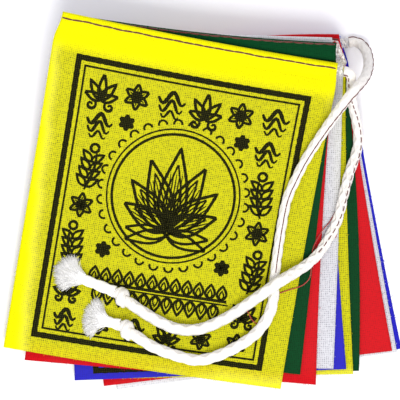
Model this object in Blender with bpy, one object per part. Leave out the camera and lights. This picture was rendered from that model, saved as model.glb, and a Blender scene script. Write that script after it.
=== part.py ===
"""A string of ten cotton prayer flags, folded back and forth on its cord and fanned out.

The flags lie in a heap on a surface at z = 0, with flag 1 on top. Each is one sheet whose head is
folded over the cord, so the cord runs through ten headers and turns back between them. Both ends of
the cord come out at the right, lie over the top flag and end in a knot and a frayed tuft.
Lengths are in metres. +Z is up, and +Y runs from the feet of the flags to their heads.
"""

import math
from collections import namedtuple

import bmesh
import bpy
import numpy as np
from mathutils import Matrix, Vector

MM = 0.001

# Cloth
SHEET = 1.0 * MM  # thickness of one layer
DROP = 152 * MM  # from the fold at the head to the foot
HEM = 9 * MM  # how far the head's allowance reaches back under or over the flag
HEM_FALL = 4.5 * MM  # the flag comes down beside the hem's raw edge over this distance
GAP = 0.3 * MM  # between one piece, or layer, and the next

# Cord
FLAT_WIDE = 4.8 * MM  # stitched flat inside the headers
FLAT_THICK = 1.2 * MM
TURN = (4.2 * MM, 2.2 * MM)  # width and thickness where it turns from one header into the next
TUCKED_TURN = (3.4 * MM, 1.4 * MM)
CORD = 5.2 * MM  # diameter of the free ends
FLAT_OUT = 1.1 * MM  # the flat cord comes this far out of a header
LEAD = 0.3 * MM  # and goes on straight for this far before it turns
STUB = 1.6 * MM  # or for this far at its two ends, where the free cord starts
TUCK = 8.2 * MM  # length of hem left out at the left of the top two flags, where the cord turns inside
TUCKED_END = 5.4 * MM  # how far from their ends the cord starts that turn

# Header, worked out from the above
CHANNEL = FLAT_THICK + 2 * GAP  # height of the space for the cord
HEADER = CHANNEL + 2 * SHEET  # height of cloth, cord and cloth
NOSE = HEADER / 2  # radius of the fold's outside
CORD_IN = SHEET + GAP + FLAT_WIDE / 2  # from the fold to the cord's centre
FLAT_END = CORD_IN + 0.42 * FLAT_WIDE  # the upper layer starts down past the cord here
MEET = 7.8 * MM  # and meets the lower layer here

# Grid of a flag: shares of its width, and distances from its fold
ACROSS = (0, 0.05, 0.12, 0.22, 0.36, 0.5, 0.64, 0.78, 0.88, 0.95, 1)
ROLL_END = 6.4 * MM
DOWN = (0, ROLL_END, HEM, HEM + HEM_FALL, 19 * MM, 26 * MM, 34 * MM, 43 * MM, 55 * MM, 70 * MM,
        87 * MM, 104 * MM, 120 * MM, 134 * MM, 145 * MM, DROP)

# How a flag settles on what is below it
CELL = 0.5 * MM  # map of the heap's height
HALF_MAP = 130 * MM
FIRST_SAG = 0.7 * MM  # lowered this much at the first step
LAST_SAG = 0.1 * MM  # and this much at the last, which sets how stiff the cloth is
SPREAD = 0.5  # share of each point's height taken from its neighbours
STEPS = 300
TILT = 0.3  # steepest slope of a header across its cord
FINE = 26  # sample points along a triangle's side

Flag = namedtuple("Flag", "name colour up head_left head_right foot_left foot_right flare bow")

# Corner places in millimetres. flare: how far the sides stand out past the gathered head, left and
# right. bow: how far the left, right, foot and head edges bulge outwards halfway.
FLAGS = (
    Flag("flag_01_yellow", "yellow", True, (-61.7, 85.3), (62.4, 62.1), (-89.6, -67.1), (36.7, -86.0),
         (2.4, 1.4), (0, -0.8, 0.6, -1.0)),
    Flag("flag_02_green", "green", False, (-60.6, 84.6), (61.7, 71.4), (-80.7, -65.6), (45.6, -79.5),
         (2.0, 1.2), (0, 0, 0, -2.0)),
    Flag("flag_03_red", "red", True, (-59.0, 77.1), (60.3, 64.9), (-80.0, -73.0), (52.8, -84.2),
         (1.0, 1.0), (0, -1.2, 0, -4.0)),
    Flag("flag_04_white", "white", False, (-59.9, 77.5), (59.8, 73.9), (-68.0, -74.4), (60.8, -76.9),
         (2.0, 5.4), (0, 0.6, 0, 0)),
    Flag("flag_05_blue", "blue", True, (-60.3, 69.5), (58.1, 72.3), (-57.2, -82.3), (66.7, -77.1),
         (1.0, 1.0), (0, -1.4, 0, -5.0)),
    Flag("flag_06_yellow", "yellow", False, (-59.9, 64.0), (61.2, 71.0), (-56.9, -81.8), (69.9, -79.4),
         (1.0, 5.0), (0, -1.0, 0, 4.0)),
    Flag("flag_07_green", "green", True, (-59.0, 70.5), (62.1, 66.2), (-54.4, -81.2), (72.6, -78.0),
         (1.0, 3.6), (0, 2.8, 0, -4.0)),
    Flag("flag_08_red", "red", False, (-60.3, 62.0), (63.2, 75.8), (-43.9, -85.0), (87.8, -68.9),
         (1.0, 1.4), (0, -1.0, 0, 4.0)),
    Flag("flag_09_white", "white", True, (-58.6, 62.4), (63.2, 74.6), (-38.1, -86.6), (90.0, -69.5),
         (1.0, 0.6), (0, 0, 0, -5.0)),
    Flag("flag_10_blue", "blue", False, (-59.0, 61.7), (64.2, 75.1), (-36.3, -84.4), (92.1, -68.0),
         (1.0, 1.6), (0, -1.0, 0, 0)),
)

# Free ends of the cord: places in millimetres along the middle of the cord, from flag to knot.
# The first drops from the bottom flag's header to the surface and climbs over the second, which
# falls from the top flag over the edge of the heap, and later crosses above the first.
ROUTES = {
    "cord_a": (
        (67.95, 71.95, 2.75), (70.7, 72.1, 2.8), (73.5, 70.8, 4.4), (75.5, 68.0, 8.6), (76.4, 64.4, 14.0),
        (76.3, 60.8, 20.4), (75.3, 57.2, 27.0), (73.3, 53.8, 33.0), (70.4, 50.3, 37.2),
        (67.0, 46.4, 37.8), (63.6, 41.9, 33.8), (60.1, 37.0, 27.8), (56.2, 31.2, 23.0),
        (52.2, 25.2, 19.9), (47.6, 17.7, 18.0), (43.5, 9.5, 17.1), (39.5, 0.0, 16.4),
        (37.2, -11.3, 16.1), (35.4, -23.1, 15.9), (34.0, -34.5, 15.9), (33.1, -46.3, 16.0),
        (29.9, -54.9, 16.1), (23.1, -62.6, 16.2), (11.3, -69.4, 16.4), (0.0, -72.7, 16.5),
        (-10.0, -70.9, 16.6), (-21.3, -66.7, 16.7), (-29.3, -61.6, 16.7),
    ),
    "cord_b": (
        (64.85, 58.1, 33.2), (66.8, 57.7, 33.0), (68.2, 56.1, 31.7), (68.5, 53.3, 28.9),
        (68.4, 49.9, 24.9), (68.9, 46.0, 20.0), (69.8, 41.6, 15.2), (71.0, 37.0, 11.3),
        (71.9, 32.0, 8.8), (72.1, 26.6, 7.8), (71.0, 20.8, 8.3), (68.2, 12.7, 9.6), (65.8, 4.1, 11.2),
        (63.5, -5.9, 12.1), (60.8, -13.2, 12.5), (54.9, -23.1, 13.7), (49.0, -29.0, 15.3),
        (43.2, -32.8, 18.0), (38.4, -35.6, 20.9), (34.4, -38.2, 22.0), (29.6, -41.6, 20.7),
        (24.0, -45.6, 17.9), (18.0, -49.8, 16.5), (10.6, -54.3, 16.3), (0.0, -58.6, 16.4),
        (-10.0, -58.6, 16.5), (-18.4, -55.3, 16.6), (-27.2, -50.0, 16.7), (-31.6, -46.9, 16.7),
    ),
}
POINT_STEP = 8 * MM  # between the points of a free end
END_STEP = 2 * MM  # at its two ends, so that they meet the next piece squarely

# Knots and the frayed ends behind them. neck: where the fray starts. length: of the locks, at the
# sides and in the middle. Places in millimetres, heights are found from the heap.
End = namedtuple("End", "cord knot tail neck spread_deg length locks")
ENDS = (
    End("cord_a", "knot_a", "tuft_a", (-44.6, -54.5), 82, (8.6, 7.6), 19),
    End("cord_b", "knot_b", "tuft_b", (-55.0, -35.2), 74, (8.2, 10.6), 19),
)
KNOT_LONG = 8.4 * MM
TORUS = (2.15 * MM, 1.85 * MM)  # radii of the loops round a knot
SUNK = 0.92  # height of a knot's middle, as a share of its loops' radii
TAIL = 5.4 * MM  # diameter behind the knot
LOCK = (1.7 * MM, 0.7 * MM)  # width of a lock near its root and at its tip

COLOURS = {
    "yellow": (0.80, 0.76, 0.02, 1),
    "green": (0.01, 0.09, 0.03, 1),
    "red": (0.70, 0.02, 0.03, 1),
    "white": (0.80, 0.80, 0.82, 1),
    "blue": (0.05, 0.05, 0.55, 1),
    "cord": (0.85, 0.82, 0.75, 1),
}


def unit(vector):
    return vector / np.linalg.norm(vector)


def corners_of_samples(count):
    """Weights of evenly spread points in a triangle, one row for each point."""
    rows = [(a, b, count - a - b) for a in range(count + 1) for b in range(count + 1 - a)]
    return np.array(rows) / count


SAMPLES = corners_of_samples(FINE)


def plan(flag, across, down):
    """Where a point of the flag lies, seen from above."""
    head_left, head_right, foot_left, foot_right = (
        np.array(corner) * MM
        for corner in (flag.head_left, flag.head_right, flag.foot_left, flag.foot_right)
    )
    share = down / DROP
    head = head_left + across * (head_right - head_left)
    foot = foot_left + across * (foot_right - foot_left)
    right = unit(head_right - head_left)
    downwards = unit(foot - head)
    flared = (1 - math.exp(-((down / (9 * MM)) ** 3))) * (1 - share)
    bulge = 4 * share * (1 - share)
    left_bow, right_bow, foot_bow, head_bow = flag.bow
    stands_left = (flag.flare[0] * flared + left_bow * bulge) * MM
    stands_right = (flag.flare[1] * flared + right_bow * bulge) * MM
    arch = 4 * across * (1 - across)
    return (
        head * (1 - share)
        + foot * share
        + right * (across * stands_right - (1 - across) * stands_left)
        + downwards * arch * (share * foot_bow - (1 - share) * head_bow) * MM
    )


class Heap:
    """A map of how high the heap reaches so far, on square cells."""

    def __init__(self):
        side = round(2 * HALF_MAP / CELL)
        self.top = np.zeros((side, side))

    def cells(self, places):
        index = np.floor((places + HALF_MAP) / CELL).astype(int)
        return np.clip(index, 0, self.top.shape[0] - 1)

    def add(self, points, triangles):
        corners = np.asarray(points)[np.asarray(triangles)]
        spread = np.einsum("sc,tcx->tsx", SAMPLES, corners).reshape(-1, 3)
        index = self.cells(spread[:, :2])
        np.maximum.at(self.top, (index[:, 0], index[:, 1]), spread[:, 2])

    def clear(self, place, reach):
        """Height that a piece may come down to within reach of a place."""
        low = self.cells(np.asarray(place[:2]) - reach)
        high = self.cells(np.asarray(place[:2]) + reach)
        return self.top[low[0] : high[0] + 1, low[1] : high[1] + 1].max() + GAP

    def floor(self):
        """What the next piece must clear: the heap and a gap, a cell wider all round."""
        widened = self.top.copy()
        for step_x in (-1, 0, 1):
            for step_y in (-1, 0, 1):
                widened = np.maximum(widened, np.roll(self.top, (step_x, step_y), (0, 1)))
        return np.where(widened > 0, widened + GAP, 0)


def grid_triangles(columns, rows):
    """The two triangles of each cell of a grid, as point numbers."""
    found = []
    for i in range(columns - 1):
        for j in range(rows - 1):
            near, far = i * rows + j, (i + 1) * rows + j
            found += [(near, far, far + 1), (near, far + 1, near + 1)]
    return np.array(found)


def rest_on(flag, heap):
    """Heights of the flag's lowest layer over its grid, one row for each place across."""
    places = np.array([[plan(flag, a, d) for d in DOWN] for a in ACROSS])
    columns, rows = places.shape[:2]
    flat = places.reshape(-1, 2)
    triangles = grid_triangles(columns, rows)
    floor = heap.floor()
    at_points = heap.cells(flat)
    point_floor = floor[at_points[:, 0], at_points[:, 1]]
    spread = np.einsum("sc,tcx->tsx", SAMPLES, flat[triangles]).reshape(-1, 2)
    at_samples = heap.cells(spread)
    sample_floor = floor[at_samples[:, 0], at_samples[:, 1]]
    owners = np.repeat(triangles, len(SAMPLES), axis=0)
    weights = np.tile(SAMPLES, (len(triangles), 1))
    shares = weights / (weights**2).sum(axis=1, keepdims=True)

    heights = np.full((columns, rows), floor.max())
    for step in range(STEPS):
        sag = LAST_SAG + (FIRST_SAG - LAST_SAG) * (1 - step / STEPS) ** 3
        padded = np.pad(heights, 1, mode="edge")
        around = (padded[:-2, 1:-1] + padded[2:, 1:-1] + padded[1:-1, :-2] + padded[1:-1, 2:]) / 4
        heights = (1 - SPREAD) * heights + SPREAD * around - sag
        heights = np.maximum(heights, point_floor.reshape(columns, rows))
        for _ in range(2):
            flat_heights = heights.reshape(-1)
            short = sample_floor - (weights * flat_heights[owners]).sum(axis=1)
            low = short > 1e-7
            lift = np.zeros(columns * rows)
            needed = short[low, None] * shares[low]
            np.maximum.at(lift, owners[low].reshape(-1), needed.reshape(-1))
            heights = (flat_heights + lift).reshape(columns, rows)
            # The header tilts no more than this between its fold and its back
            heights[:, 0] = np.maximum(heights[:, 0], heights[:, 1] - TILT * ROLL_END)
            heights[:, 1] = np.maximum(heights[:, 1], heights[:, 0] - TILT * ROLL_END)
    return heights


def nose(radius, from_top):
    """Three points round the fold, between its upper and lower ends."""
    angles = (135, 180, 225) if from_top else (225, 180, 135)
    turns = [math.radians(angle) for angle in angles]
    return [(NOSE + radius * math.cos(a), NOSE + radius * math.sin(a)) for a in turns]


def section(face_up):
    """Outline of a flag cut from head to foot: distance from the fold and height over its rest.

    A flag that lies face up has its hem below it, and one that lies face down has it above.
    """
    over = SHEET + GAP
    ease = 0.3 * MM  # keeps the sheet's thickness where it slopes
    inner_nose = [(NOSE, SHEET), *nose(NOSE - SHEET, False), (NOSE, HEADER - SHEET)]
    outer_nose = [(NOSE, HEADER), *nose(NOSE, True)]
    below = [(FLAT_END, HEADER - SHEET), (MEET, over), (HEM, over)]
    above = [(HEM + ease, over + SHEET), (MEET + ease, over + SHEET), (FLAT_END + ease, HEADER)]
    body = DOWN[3:]
    if face_up:
        hem = [(NOSE, 0), (ROLL_END, 0), (HEM, 0), (HEM, SHEET), (ROLL_END, SHEET)]
        sheet = below + [(d, 0) for d in body] + [(d, SHEET) for d in reversed(body)] + above
        return hem + inner_nose + sheet + outer_nose
    sheet = [(NOSE, 0)] + [(d, 0) for d in DOWN[1:]] + [(d, SHEET) for d in reversed(DOWN[1:])]
    hem = below + [(HEM, over + SHEET)] + above[1:]
    return sheet + inner_nose + hem + outer_nose


def loft(rings):
    """Points and faces of a closed skin over rings of equal count, with both ends filled."""
    count = len(rings[0])
    points = [tuple(point) for ring in rings for point in ring]
    faces = []
    for i in range(len(rings) - 1):
        for k in range(count):
            after = (k + 1) % count
            a, b = i * count + k, (i + 1) * count + k
            c, d = (i + 1) * count + after, i * count + after
            faces += [(a, b, c), (a, c, d)]
    last = (len(rings) - 1) * count
    caps = [tuple(range(count)), tuple(range(last + count - 1, last - 1, -1))]
    return points, faces, caps


def material(name, colour):
    made = bpy.data.materials.get(name) or bpy.data.materials.new(name)
    made.use_nodes = True
    shader = made.node_tree.nodes["Principled BSDF"]
    shader.inputs["Base Color"].default_value = colour
    shader.inputs["Roughness"].default_value = 0.9
    shader.inputs["Metallic"].default_value = 0
    return made


def shade(mesh, colour):
    mesh.shade_smooth()
    mesh.set_sharp_from_angle(angle=math.radians(40))
    mesh.materials.clear()
    mesh.materials.append(material(colour, COLOURS[colour]))


def add_mesh(name, points, faces, colour, collection):
    mesh = bpy.data.meshes.new(name)
    mesh.from_pydata([tuple(map(float, point)) for point in points], [], faces)
    shaped = bmesh.new()
    shaped.from_mesh(mesh)
    bmesh.ops.triangulate(shaped, faces=[face for face in shaped.faces if len(face.verts) > 3])
    bmesh.ops.recalc_face_normals(shaped, faces=shaped.faces)
    shaped.to_mesh(mesh)
    shaped.free()
    shade(mesh, colour)
    made = bpy.data.objects.new(name, mesh)
    collection.objects.link(made)
    return made


def flag_rings(flag, heights):
    rings = []
    for column, across in enumerate(ACROSS):
        ring = []
        for down, lift in section(flag.up):
            rest = np.interp(down, DOWN, heights[column])
            ring.append((*plan(flag, across, down), rest + lift))
        rings.append(ring)
    return rings


def leave_out_hem(made, flag, heights, cutters):
    """Cuts the hem of one of the top two flags away at the left, where the cord turns inside."""
    middle = SHEET + GAP / 2
    low, high = (-1 * MM, middle) if flag.up else (middle, HEADER + 1 * MM)
    near, far = 0.8 * NOSE, HEM + 0.2 * MM
    width = np.linalg.norm(plan(flag, 1, 0) - plan(flag, 0, 0))
    outline = [(near, low), (ROLL_END, low), (far, low), (far, high), (ROLL_END, high), (near, high)]
    rings = []
    for across in (-0.05, 0, ACROSS[1], TUCK / width):
        ring = []
        for down, lift in outline:
            row = [np.interp(across, ACROSS, heights[:, i]) for i in range(len(DOWN))]
            ring.append((*plan(flag, across, down), np.interp(down, DOWN, row) + lift))
        rings.append(ring)
    points, faces, caps = loft(rings)
    cutter = add_mesh("cut_" + flag.name, points, faces + caps, "cord", cutters)
    cutter.hide_render = True
    cutter.display_type = "WIRE"
    apply_boolean(made, cutter, "DIFFERENCE")


def apply_boolean(made, other, operation):
    step = made.modifiers.new(operation.lower(), "BOOLEAN")
    step.operation = operation
    step.solver = "EXACT"
    step.object = other


def channel(flag, heights):
    """The cord's centre line through the header, and its sideways direction at each point."""
    width = np.linalg.norm(plan(flag, 1, 0) - plan(flag, 0, 0))
    first = TUCKED_END / width if flag in FLAGS[:2] else 0
    centres, sides = [], []
    for across in (first, *ACROSS[1:]):
        fold, back = (np.interp(across, ACROSS, heights[:, row]) for row in (0, 1))
        height = fold + (back - fold) * CORD_IN / ROLL_END + HEADER / 2
        centres.append(np.array([*plan(flag, across, CORD_IN), height]))
        sideways = plan(flag, across, ROLL_END) - plan(flag, across, 0)
        sides.append(unit(np.array([*sideways, back - fold])))
    centres[-1] = centres[-1] + unit(centres[-1] - centres[-2]) * FLAT_OUT
    if first == 0:
        centres[0] = centres[0] + unit(centres[0] - centres[1]) * FLAT_OUT
    return centres, sides


def turned(vector, axis, angle):
    return np.array(Matrix.Rotation(angle, 3, Vector(axis)) @ Vector(vector))


def carried(first, tangents):
    """A sideways direction carried along a path without twisting."""
    found = [first]
    for before, after in zip(tangents, tangents[1:]):
        axis = np.cross(before, after)
        sine = np.linalg.norm(axis)
        side = found[-1]
        if sine > 1e-6:
            side = turned(side, axis / sine, math.atan2(sine, float(np.dot(before, after))))
        found.append(side)
    return found


def tangents_of(points):
    along = [points[min(i + 1, len(points) - 1)] - points[max(i - 1, 0)] for i in range(len(points))]
    return [unit(step) for step in along]


def turn_back(start, end, outwards):
    """Points of the cord between two headers: out of one, round a half circle, and into the other."""
    rise = end - start
    sideways = rise - outwards * np.dot(rise, outwards)
    radius = max(np.linalg.norm(sideways) / 2, 1.5 * MM)
    reach = max(0, np.dot(rise, outwards)) + LEAD
    middle = start + sideways / 2 + outwards * reach
    points = []
    for step in range(7):
        angle = math.radians(-90 + 30 * step)
        points.append(middle + outwards * radius * math.cos(angle) + sideways / 2 * math.sin(angle))
    return points


def sides_round(points, first, last):
    """Sideways directions along a turn, twisted evenly so that they end as the next header needs."""
    tangents = tangents_of(points)
    found = carried(first, tangents)
    target = last - tangents[-1] * np.dot(last, tangents[-1])
    twist = math.atan2(
        float(np.dot(np.cross(found[-1], target), tangents[-1])), float(np.dot(found[-1], target))
    )
    # Half a turn leaves the flat cord as it was
    twist -= math.pi * round(twist / math.pi)
    steps = len(points) - 1
    return [turned(side, tangents[i], twist * i / steps) for i, side in enumerate(found)]


def cord_rings(points, sides, sizes):
    """Six-sided rings of flattened cord."""
    rings = []
    corners = ((1, 0), (0.54, 1), (-0.54, 1), (-1, 0), (-0.54, -1), (0.54, -1))
    for point, side, tangent, (wide, thick) in zip(points, sides, tangents_of(points), sizes):
        across = unit(side - tangent * np.dot(side, tangent))
        lift = np.cross(tangent, across)
        rings.append([point + across * wide / 2 * x + lift * thick / 2 * y for x, y in corners])
    return rings


class HeaderCord:
    """The cord from the bottom flag's right end, back and forth through every header."""

    def __init__(self):
        self.points, self.sides, self.sizes = [], [], []
        self.leftwards = True

    def thread(self, flag, heights, heap):
        centres, sides = channel(flag, heights)
        if self.leftwards:
            centres, sides = centres[::-1], sides[::-1]
        if self.points:
            size = TUCKED_TURN if flag is FLAGS[0] else TURN
            self.turn_into(centres, sides, size, heap)
        self.points += centres
        self.sides += sides
        self.sizes += [(FLAT_WIDE, FLAT_THICK)] * len(centres)
        self.leftwards = not self.leftwards
        # Room for the cord to leave this header, under the next flag
        outwards = unit(centres[-1] - centres[-2])
        leaving = [centres[-1], centres[-1] + outwards * 3.5 * MM]
        points, faces, _ = loft(cord_rings(leaving, [sides[-1]] * 2, [TURN] * 2))
        heap.add(points, faces)

    def turn_into(self, centres, sides, size, heap):
        outwards = unit((centres[0] - centres[1]) * (1, 1, 0))
        turn = turn_back(self.points[-1], centres[0], outwards)
        turn_sides = sides_round(turn, self.sides[-1], sides[0])
        points, faces, _ = loft(cord_rings(turn, turn_sides, [size] * len(turn)))
        heap.add(points, faces)
        self.points += turn
        # The side may point the other way at the end of the turn, so the rest follows it
        if np.dot(turn_sides[-1], sides[0]) < 0:
            sides[:] = [-side for side in sides]
        self.sides += turn_sides
        self.sizes += [size] * len(turn)

    def finish(self):
        """Adds the stub at each end, where the flat cord gets round again."""
        for end in (0, -1):
            inner = self.points[1] if end == 0 else self.points[-2]
            outwards = unit((self.points[end] - inner) * (1, 1, 0))
            lift = np.array([0, 0, CORD / 2 + 0.15 * MM - HEADER / 2])
            rows = []
            for share, size in ((0.4, (4.9 * MM, 3.0 * MM)), (1, (CORD, 4.8 * MM))):
                rows.append((self.points[end] + outwards * STUB * share + lift, size))
            side = self.sides[end]
            if end == 0:
                rows = rows[::-1]
                self.points = [row[0] for row in rows] + self.points
                self.sides = [side, side] + self.sides
                self.sizes = [row[1] for row in rows] + self.sizes
            else:
                self.points += [row[0] for row in rows]
                self.sides += [side, side]
                self.sizes += [row[1] for row in rows]


def smooth_curve(route, step):
    """Points about a step apart on a smooth curve through the route's own points, closer at its ends."""
    places = [np.array(place) * MM for place in route]
    ends = [2 * places[0] - places[1], *places, 2 * places[-1] - places[-2]]
    fine = []
    for before, start, end, after in zip(ends, ends[1:], ends[2:], ends[3:]):
        for t in np.linspace(0, 1, 20, endpoint=False):
            fine.append(
                0.5 * (2 * start + (end - before) * t
                       + (2 * before - 5 * start + 4 * end - after) * t**2
                       + (3 * start - before - 3 * end + after) * t**3)
            )
    fine = np.array(fine + [places[-1]])
    run = np.concatenate([[0], np.cumsum(np.linalg.norm(np.diff(fine, axis=0), axis=1))])
    inner = np.linspace(END_STEP, run[-1] - END_STEP, round(run[-1] / step) + 1)
    stations = [0, *inner, run[-1]]
    return np.array([np.interp(stations, run, fine[:, i]) for i in range(3)]).T


def add_cord(name, collection):
    curve = bpy.data.curves.new(name, "CURVE")
    curve.dimensions = "3D"
    curve.bevel_depth = CORD / 2
    curve.bevel_resolution = 3
    curve.use_fill_caps = True
    curve.render_resolution_u = 0
    points = smooth_curve(ROUTES[name], POINT_STEP)
    spline = curve.splines.new("POLY")
    spline.points.add(len(points) - 1)
    for point, place in zip(spline.points, points):
        point.co = (*place, 1)
    curve.materials.append(material("cord", COLOURS["cord"]))
    made = bpy.data.objects.new(name, curve)
    collection.objects.link(made)
    return made


def tube_rings(points, radii, sides):
    """Rings of a round or four-sided tube, with its flats level."""
    rings = []
    for point, radius, tangent in zip(points, radii, tangents_of(points)):
        across = unit(np.cross(tangent, (0, 0, 1)))
        lift = np.cross(across, tangent)
        turns = [math.tau * (k + 0.5) / sides for k in range(sides)]
        rings.append([point + (across * math.cos(a) + lift * math.sin(a)) * radius for a in turns])
    return rings


def add_tube(name, points, radii, sides, collection):
    rings_points, faces, caps = loft(tube_rings(points, radii, sides))
    return add_mesh(name, rings_points, faces + caps, "cord", collection)


def joined(made, parts):
    """Joins parts to a piece with Booleans, and drops the parts."""
    for extra in parts:
        apply_boolean(made, extra, "UNION")
        bpy.context.view_layer.update()
        shaped = bpy.data.meshes.new_from_object(made.evaluated_get(bpy.context.evaluated_depsgraph_get()))
        made.modifiers.clear()
        made.data = shaped
        bpy.data.objects.remove(extra, do_unlink=True)
    shade(made.data, "cord")


def add_knot(end, heap, collection):
    """A short stretch of cord with two crossed loops round it, in line with the cord's end."""
    route = smooth_curve(ROUTES[end.cord], POINT_STEP)
    outwards = unit((route[-1] - route[-2]) * (1, 1, 0))
    start = route[-1] + outwards * GAP
    middle = start + outwards * KNOT_LONG / 2
    middle[2] = heap.clear(middle, 4 * MM) + sum(TORUS) * SUNK
    finish = middle + outwards * KNOT_LONG / 2
    finish[2] = heap.clear(finish, TAIL / 2) + TAIL / 2
    level = outwards * KNOT_LONG / 10
    core = [start, start + level, middle, finish - level, finish]
    radii = [CORD / 2, CORD / 2, 2.2 * MM, TAIL / 2, TAIL / 2]
    knot = add_tube(end.knot, core, radii, 10, collection)
    loops = []
    for lean, shift in ((34, 0.5 * MM), (-28, -0.6 * MM)):
        bpy.ops.mesh.primitive_torus_add(
            major_radius=TORUS[0], minor_radius=TORUS[1], major_segments=14, minor_segments=8,
            location=middle + outwards * shift,
        )
        loop = bpy.context.object
        heading = math.atan2(outwards[1], outwards[0]) + math.radians(lean)
        loop.rotation_euler = (0, math.radians(90), heading)
        loops.append(loop)
    joined(knot, loops)
    return finish, outwards


def add_tuft(end, start, outwards, heap, collection):
    """The tail behind a knot, and the locks it frays into, fanned out on the cloth."""
    neck = np.array([*end.neck, 0]) * MM
    neck[2] = heap.clear(neck, TAIL / 2) + TAIL / 2
    begin = start + outwards * GAP
    level = begin + outwards * MM
    level[2] = begin[2]
    route = [begin, level, (level + neck) / 2, neck]
    tail = add_tube(end.tail, route, [TAIL / 2, TAIL / 2, TAIL / 2, 2.3 * MM], 10, collection)
    away = unit((neck - level) * (1, 1, 0))
    dice = np.random.default_rng(end.locks)
    locks = []
    for k in range(end.locks):
        share = 2 * k / (end.locks - 1) - 1
        angle = math.radians(end.spread_deg * share + dice.uniform(-4, 4))
        heading = np.array(Matrix.Rotation(angle, 3, "Z") @ Vector(away))
        side, middle = (value * MM for value in end.length)
        long = (middle + (side - middle) * share**2) * dice.uniform(0.86, 1.06)
        upper = k % 2
        root = neck - away * 1.2 * MM + heading * 0.4 * MM + np.array([0, 0, (upper - 0.5) * 1.4 * MM])
        tip = root + heading * long
        tip[2] = heap.clear(tip, 1 * MM) + LOCK[0] * (0.5 + 0.5 * upper)
        half = (root + tip) / 2
        half[2] = max(half[2] + 0.4 * MM, heap.clear(half, 1 * MM) + LOCK[0] * (0.6 + 0.7 * upper))
        radii = [LOCK[0] * 0.7, LOCK[0] * 0.7, LOCK[1] * 0.7]
        locks.append(add_tube(f"lock_{k}", [root, half, tip], radii, 4, collection))
    joined(tail, locks)


def main():
    for old in list(bpy.data.objects):
        bpy.data.objects.remove(old, do_unlink=True)
    collection = bpy.data.collections.new("prayer_flag_string")
    bpy.context.scene.collection.children.link(collection)
    cutters = bpy.data.collections.new("cutters")
    bpy.context.scene.collection.children.link(cutters)

    heap = Heap()
    cord = HeaderCord()
    for flag in reversed(FLAGS):
        heights = rest_on(flag, heap)
        points, faces, caps = loft(flag_rings(flag, heights))
        made = add_mesh(flag.name, points, faces + caps, flag.colour, collection)
        if flag in FLAGS[:2]:
            leave_out_hem(made, flag, heights, cutters)
        heap.add(points, faces)
        cord.thread(flag, heights, heap)
    cord.finish()
    points, faces, caps = loft(cord_rings(cord.points, cord.sides, cord.sizes))
    add_mesh("header_cord", points, faces + caps, "cord", collection)
    for end in ENDS:
        add_cord(end.cord, collection)
        finish, outwards = add_knot(end, heap, collection)
        add_tuft(end, finish, outwards, heap, collection)


main()
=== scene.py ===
import math

import bpy
import numpy as np
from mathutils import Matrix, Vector, noise
from mathutils.bvhtree import BVHTree


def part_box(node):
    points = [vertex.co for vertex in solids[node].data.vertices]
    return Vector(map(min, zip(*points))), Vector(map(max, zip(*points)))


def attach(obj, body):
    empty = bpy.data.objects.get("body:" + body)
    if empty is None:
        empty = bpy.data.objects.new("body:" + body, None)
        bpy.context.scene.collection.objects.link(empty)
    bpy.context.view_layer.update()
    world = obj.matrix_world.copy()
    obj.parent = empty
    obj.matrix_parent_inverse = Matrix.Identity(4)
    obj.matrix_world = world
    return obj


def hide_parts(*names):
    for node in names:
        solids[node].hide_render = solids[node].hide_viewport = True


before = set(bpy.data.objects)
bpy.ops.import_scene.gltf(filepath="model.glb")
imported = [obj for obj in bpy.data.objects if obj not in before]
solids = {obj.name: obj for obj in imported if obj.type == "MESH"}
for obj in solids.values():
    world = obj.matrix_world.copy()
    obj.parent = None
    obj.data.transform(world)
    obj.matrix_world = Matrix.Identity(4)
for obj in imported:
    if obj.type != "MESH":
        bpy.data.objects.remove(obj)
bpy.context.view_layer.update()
mm = 0.001
abovePile = 200 * mm  # height from which lines are cast down on the flags


def unit(vector):
    return vector / np.linalg.norm(vector)


def linearColour(code):
    # sRGB hex to the linear values that shaders take
    parts = [int(code[i:i + 2], 16) / 255 for i in (1, 3, 5)]
    return tuple(p / 12.92 if p <= 0.04045 else ((p + 0.055) / 1.055) ** 2.4 for p in parts) + (1,)


def addNode(tree, kind, settings=None, inputs=None):
    # inputs take a value, or an output socket to link
    made = tree.nodes.new(kind)
    for key, value in (settings or {}).items():
        setattr(made, key, value)
    for key, value in (inputs or {}).items():
        if isinstance(value, bpy.types.NodeSocket):
            tree.links.new(value, made.inputs[key])
        else:
            made.inputs[key].default_value = value
    return made


def newMaterial(name, roughness, sheen=0, specular=0.2):
    made = bpy.data.materials.new(name)
    made.use_nodes = True
    shader = made.node_tree.nodes["Principled BSDF"]
    shader.inputs["Roughness"].default_value = roughness
    shader.inputs["Metallic"].default_value = 0
    shader.inputs["IOR"].default_value = 1.53  # cellulose
    shader.inputs["Sheen Weight"].default_value = sheen
    shader.inputs["Specular IOR Level"].default_value = specular
    return made, made.node_tree, shader


def addPiece(name, points, faces, uvs, material, slot):
    mesh = bpy.data.meshes.new(name)
    mesh.from_pydata([tuple(map(float, p)) for p in points], [], faces)
    layer = mesh.uv_layers.new(name="cloth")
    corners = np.array([loop.vertex_index for loop in mesh.loops])
    layer.data.foreach_set("uv", np.asarray(uvs, float)[corners].ravel())
    mesh.materials.append(material)
    mesh.shade_smooth()
    made = bpy.data.objects.new(name, mesh)
    bpy.context.scene.collection.objects.link(made)
    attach(made, "root")
    return made


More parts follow.
